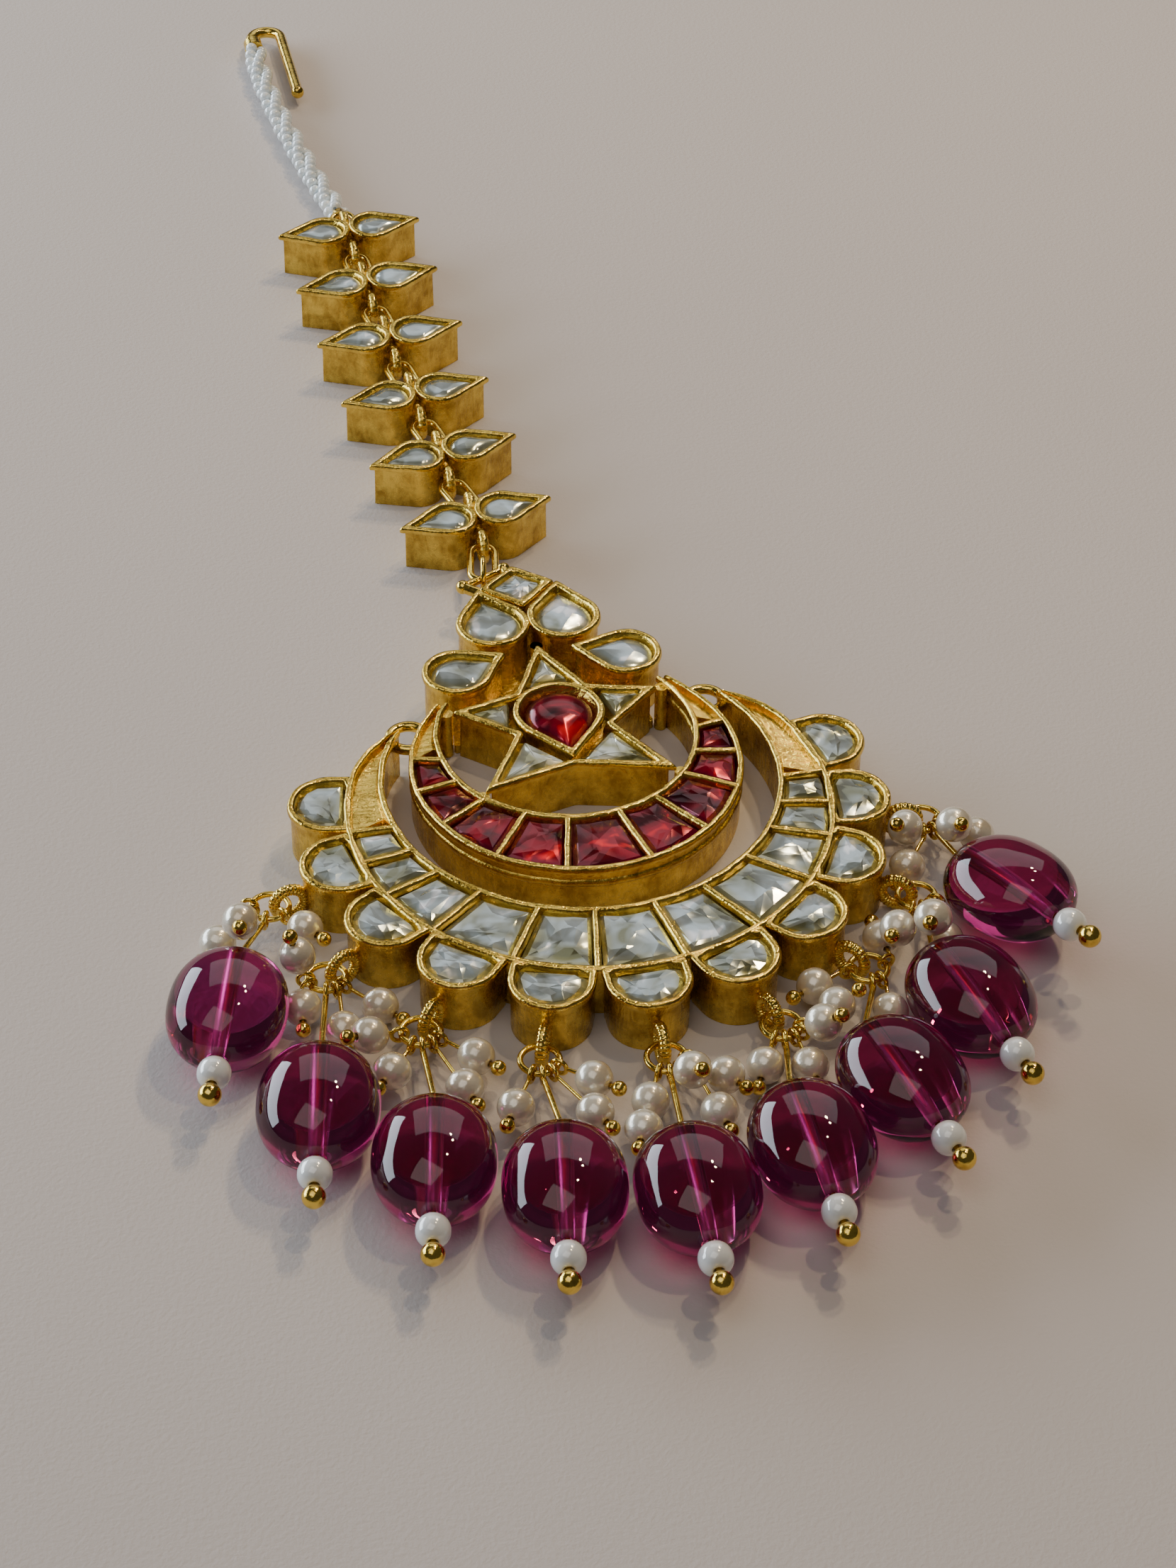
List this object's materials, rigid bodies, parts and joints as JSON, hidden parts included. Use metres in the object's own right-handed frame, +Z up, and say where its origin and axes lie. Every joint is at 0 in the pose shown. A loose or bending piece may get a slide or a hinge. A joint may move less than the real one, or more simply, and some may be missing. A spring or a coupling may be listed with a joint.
{
  "type": "maang tikka",
  "caption": "Forehead pendant with two set crescents and a star, a fringe of glass drops and pearls, a chain of leaf links, a seed bead strand and a hair hook.",
  "frame": {"origin": "centre of the pendant's outer rim, on its flat back and on the surface that the piece lies on", "axes": "+Y from the pendant to the hair hook, +Z up from the surface through the stones, +X to the wearer's left"},
  "size_m": [0.0714, 0.193, 0.008],
  "materials": {
    "gold_metal": "gold-plated cast and sheet metal, shiny rims with a fine foil texture over satin walls",
    "clear_stone": "foil-backed polki-style glass, grey-white with irregular facets",
    "ruby_stone": "foil-backed deep red glass",
    "magenta_glass": "dark purple-magenta transparent glass, polished",
    "pearl": "ivory pearl lustre",
    "white_glass": "opaque white glass, glossy",
    "seed_beads": "rows of small glossy pale blue-white seed beads"
  },
  "bodies": {
    "root": {"centre_ruby": "ruby_stone", "channel_stones": "clear_stone", "crescent_rubies": "ruby_stone", "crown_stone_1": "clear_stone", "crown_stone_2": "clear_stone", "drop_bead_1": "magenta_glass", "drop_bead_2": "magenta_glass", "drop_bead_3": "magenta_glass", "drop_bead_4": "magenta_glass", "drop_bead_5": "magenta_glass", "drop_bead_6": "magenta_glass", "drop_bead_7": "magenta_glass", "drop_bead_8": "magenta_glass", "drop_bead_9": "magenta_glass", "drop_pin_1": "gold_metal", "drop_pin_2": "gold_metal", "drop_pin_3": "gold_metal", "drop_pin_4": "gold_metal", "drop_pin_5": "gold_metal", "drop_pin_6": "gold_metal", "drop_pin_7": "gold_metal", "drop_pin_8": "gold_metal", "drop_pin_9": "gold_metal", "drop_rings": "gold_metal", "hair_hook": "gold_metal", "kite_stone": "clear_stone", "leaf_link_1": "gold_metal", "leaf_link_2": "gold_metal", "leaf_link_3": "gold_metal", "leaf_link_4": "gold_metal", "leaf_link_5": "gold_metal", "leaf_link_6": "gold_metal", "leaf_stone_1a": "clear_stone", "leaf_stone_1b": "clear_stone", "leaf_stone_2a": "clear_stone", "leaf_stone_2b": "clear_stone", "leaf_stone_3a": "clear_stone", "leaf_stone_3b": "clear_stone", "leaf_stone_4a": "clear_stone", "leaf_stone_4b": "clear_stone", "leaf_stone_5a": "clear_stone", "leaf_stone_5b": "clear_stone", "leaf_stone_6a": "clear_stone", "leaf_stone_6b": "clear_stone", "link_rings": "gold_metal", "pearl_pins": "gold_metal", "pearls": "pearl", "pendant_frame": "gold_metal", "scallop_stones": "clear_stone", "seed_bead_strand": "seed_beads", "side_stone_1": "clear_stone", "side_stone_2": "clear_stone", "star_stone_1": "clear_stone", "star_stone_2": "clear_stone", "star_stone_3": "clear_stone", "star_stone_4": "clear_stone", "star_stone_5": "clear_stone", "strand_cap": "gold_metal", "tip_beads": "white_glass"}
  },
  "joints": []
}
